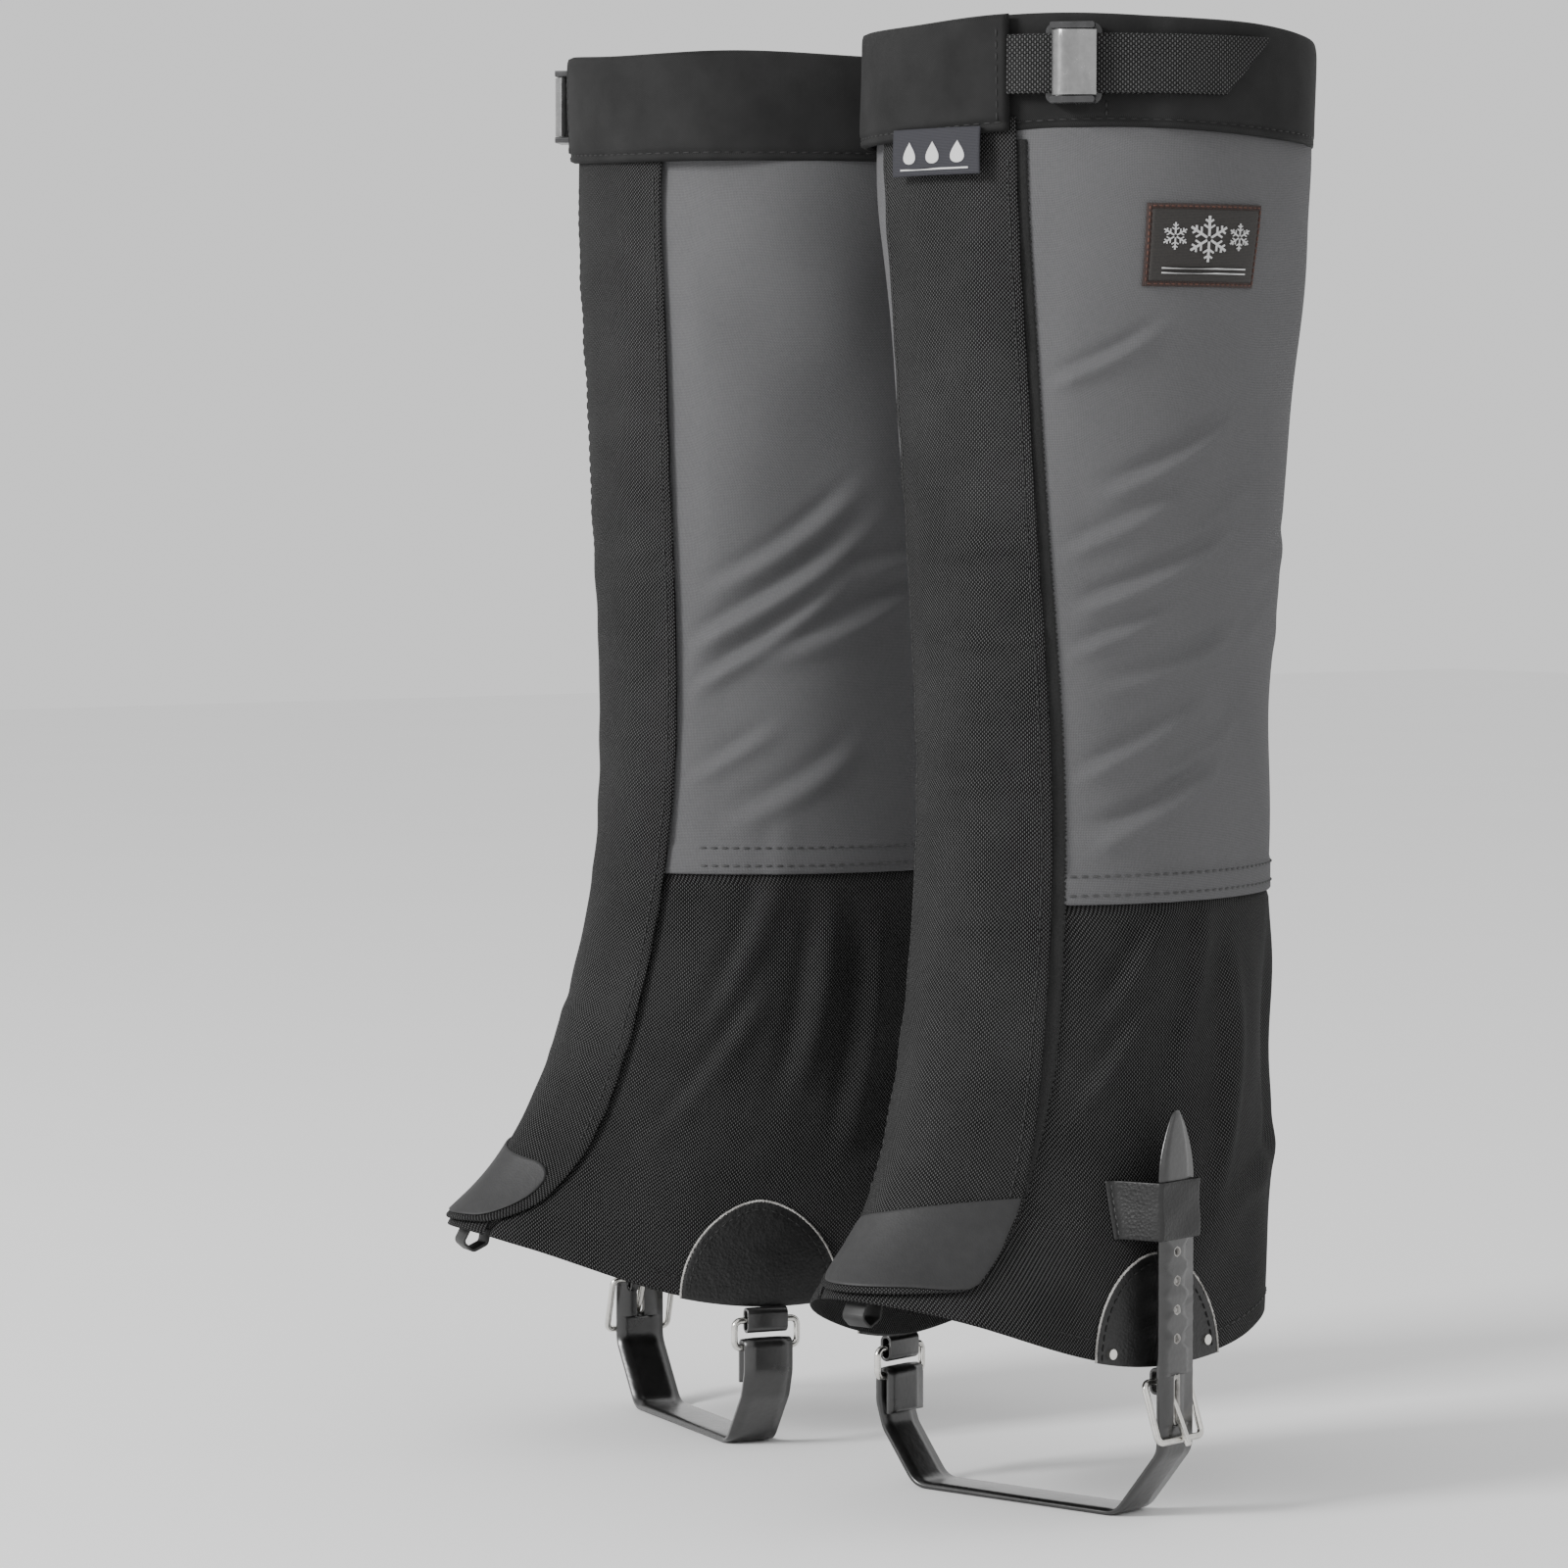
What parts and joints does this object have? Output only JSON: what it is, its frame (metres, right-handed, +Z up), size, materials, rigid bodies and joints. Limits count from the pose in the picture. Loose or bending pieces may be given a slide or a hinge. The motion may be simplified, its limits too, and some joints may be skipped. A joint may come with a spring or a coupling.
{
  "type": "pair of knee-high hiking gaiters",
  "caption": "Pair of knee-high boot gaiters with a hook-and-loop front flap, cam-buckled collar webbing, rubberised toe tab and buckled instep strap under each boot.",
  "frame": {"origin": "midway between the two gaiters, level with the undersides of the instep straps", "axes": "+Z up the legs, toes towards -Y, the wearer's left towards +X"},
  "size_m": [0.3426, 0.2142, 0.511],
  "materials": {
    "ripstop_grey": "fine matt weave",
    "cordura_black": "coarse matt weave",
    "collar_twill": "smooth twill",
    "webbing_black": "ribbed webbing",
    "buckle_plastic": "glossy moulded plastic",
    "hook_and_loop": "fuzzy pile",
    "toe_rubber": "matt rubberised",
    "label_woven": "woven label",
    "patch_leather": "grained, cut edges",
    "strap_leather": "glossy coated",
    "nickel_steel": "polished nickel",
    "hook_painted": "black enamel, worn edges"
  },
  "bodies": {
    "left_gaiter": {"left_upper_panel": "ripstop_grey", "left_lower_panel": "cordura_black", "left_collar": "collar_twill", "left_collar_end": "collar_twill", "left_buckle_anchor": "webbing_black", "left_cam_frame": "buckle_plastic", "left_loop_tape": "hook_and_loop", "left_hook_tape": "hook_and_loop", "left_front_flap": "cordura_black", "left_side_label": "label_woven", "left_lateral_patch": "patch_leather", "left_medial_patch": "patch_leather", "left_patch_rivets": "nickel_steel", "left_keeper": "strap_leather", "left_strap_tail": "strap_leather", "left_buckle_loops": "strap_leather", "left_medial_loop": "strap_leather", "left_lace_hook": "hook_painted"},
    "left_toe_flap": {"left_toe_flap": "cordura_black", "left_toe_hook_tape": "hook_and_loop", "left_toe_patch": "toe_rubber"},
    "left_cam_lever": {"left_cam_lever": "buckle_plastic"},
    "left_collar_strap": {"left_collar_strap": "webbing_black"},
    "left_front_label": {"left_front_label": "label_woven"},
    "left_stirrup": {"left_instep_strap": "strap_leather", "left_buckle_frame": "nickel_steel", "left_medial_ring": "nickel_steel"},
    "left_prong": {"left_buckle_prong": "nickel_steel"},
    "right_gaiter": {"right_upper_panel": "ripstop_grey", "right_lower_panel": "cordura_black", "right_collar": "collar_twill", "right_collar_end": "collar_twill", "right_buckle_anchor": "webbing_black", "right_cam_frame": "buckle_plastic", "right_loop_tape": "hook_and_loop", "right_hook_tape": "hook_and_loop", "right_front_flap": "cordura_black", "right_side_label": "label_woven", "right_lateral_patch": "patch_leather", "right_medial_patch": "patch_leather", "right_patch_rivets": "nickel_steel", "right_keeper": "strap_leather", "right_strap_tail": "strap_leather", "right_buckle_loops": "strap_leather", "right_medial_loop": "strap_leather", "right_lace_hook": "hook_painted"},
    "right_toe_flap": {"right_toe_flap": "cordura_black", "right_toe_hook_tape": "hook_and_loop", "right_toe_patch": "toe_rubber"},
    "right_cam_lever": {"right_cam_lever": "buckle_plastic"},
    "right_collar_strap": {"right_collar_strap": "webbing_black"},
    "right_stirrup": {"right_instep_strap": "strap_leather", "right_buckle_frame": "nickel_steel", "right_medial_ring": "nickel_steel"},
    "right_prong": {"right_buckle_prong": "nickel_steel"}
  },
  "joints": [
    {"name": "left_toe_flap_peel", "type": "hinge", "parent": "left_gaiter", "child": "left_toe_flap", "pos_m": [0.07129, -0.05438, 0.236], "axis": [0.1049, -0.2981, -0.9487], "range_deg": [0, 55]},
    {"name": "left_cam_lever_lift", "type": "hinge", "parent": "left_gaiter", "child": "left_cam_lever", "pos_m": [0.14592, -0.06329, 0.496], "axis": [0, 0, -1], "range_deg": [0, 80]},
    {"name": "left_collar_strap_pull", "type": "hinge", "parent": "left_gaiter", "child": "left_collar_strap", "pos_m": [0.089, 0, 0.496], "axis": [0, 0, 1], "range_deg": [-10, 8]},
    {"name": "left_front_label_lift", "type": "hinge", "parent": "left_gaiter", "child": "left_front_label", "pos_m": [0.10194, -0.08168, 0.4755], "axis": [-0.9877, -0.1564, 0], "range_deg": [0, 80], "stiffness_Nm_per_rad": 0.0005},
    {"name": "left_stirrup_swing", "type": "hinge", "parent": "left_gaiter", "child": "left_stirrup", "pos_m": [0.09687, -0.0341, 0.048], "axis": [0.9744, 0.225, 0], "range_deg": [-15, 15]},
    {"name": "left_prong_lift", "type": "hinge", "parent": "left_stirrup", "child": "left_prong", "pos_m": [0.15387, -0.02094, 0.048], "axis": [0.225, -0.9744, 0], "range_deg": [0, 45]},
    {"name": "gaiter_spacing", "type": "slide", "parent": "left_gaiter", "child": "right_gaiter", "axis": [-1, 0, 0], "range_m": [0, 0.25]},
    {"name": "right_toe_flap_peel", "type": "hinge", "parent": "right_gaiter", "child": "right_toe_flap", "pos_m": [-0.07129, -0.05438, 0.236], "axis": [0.1049, 0.2981, 0.9487], "range_deg": [0, 55]},
    {"name": "right_cam_lever_lift", "type": "hinge", "parent": "right_gaiter", "child": "right_cam_lever", "pos_m": [-0.14592, -0.06329, 0.496], "axis": [0, 0, 1], "range_deg": [0, 80]},
    {"name": "right_collar_strap_pull", "type": "hinge", "parent": "right_gaiter", "child": "right_collar_strap", "pos_m": [-0.089, 0, 0.496], "axis": [0, 0, -1], "range_deg": [-10, 8]},
    {"name": "right_stirrup_swing", "type": "hinge", "parent": "right_gaiter", "child": "right_stirrup", "pos_m": [-0.09687, -0.0341, 0.048], "axis": [0.9744, -0.225, 0], "range_deg": [-15, 15]},
    {"name": "right_prong_lift", "type": "hinge", "parent": "right_stirrup", "child": "right_prong", "pos_m": [-0.15387, -0.02094, 0.048], "axis": [0.225, 0.9744, 0], "range_deg": [0, 45]}
  ]
}
